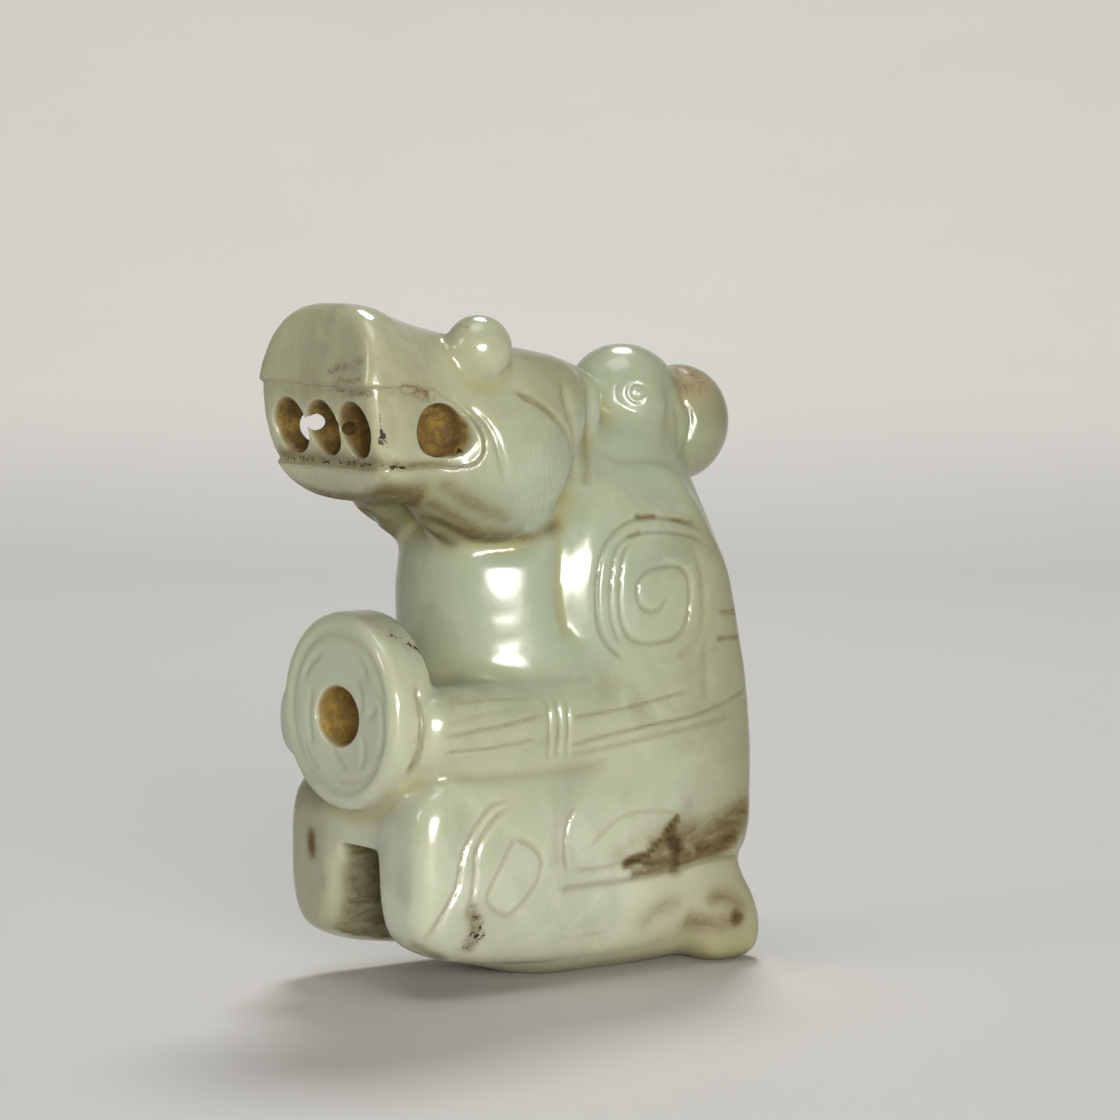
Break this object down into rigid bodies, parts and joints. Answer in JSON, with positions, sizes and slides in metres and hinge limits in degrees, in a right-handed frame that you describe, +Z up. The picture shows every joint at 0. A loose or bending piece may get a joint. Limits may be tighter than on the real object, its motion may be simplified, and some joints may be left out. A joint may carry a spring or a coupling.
{
  "type": "carved stone figurine",
  "caption": "Small jade carving of a kneeling beast-headed figure that holds a round bored disc before its chest, with drilled gaps between its teeth and a lobed crest.",
  "frame": {"origin": "on the flat underside that the carving stands on, under the middle of the body", "axes": "+Z up, -Y the way the figure faces, +X the figure's left"},
  "size_m": [0.0208, 0.0418, 0.056],
  "materials": {
    "jade": "polished, slightly see-through pale green stone"
  },
  "bodies": {
    "root": {"figure": "jade"}
  },
  "joints": []
}
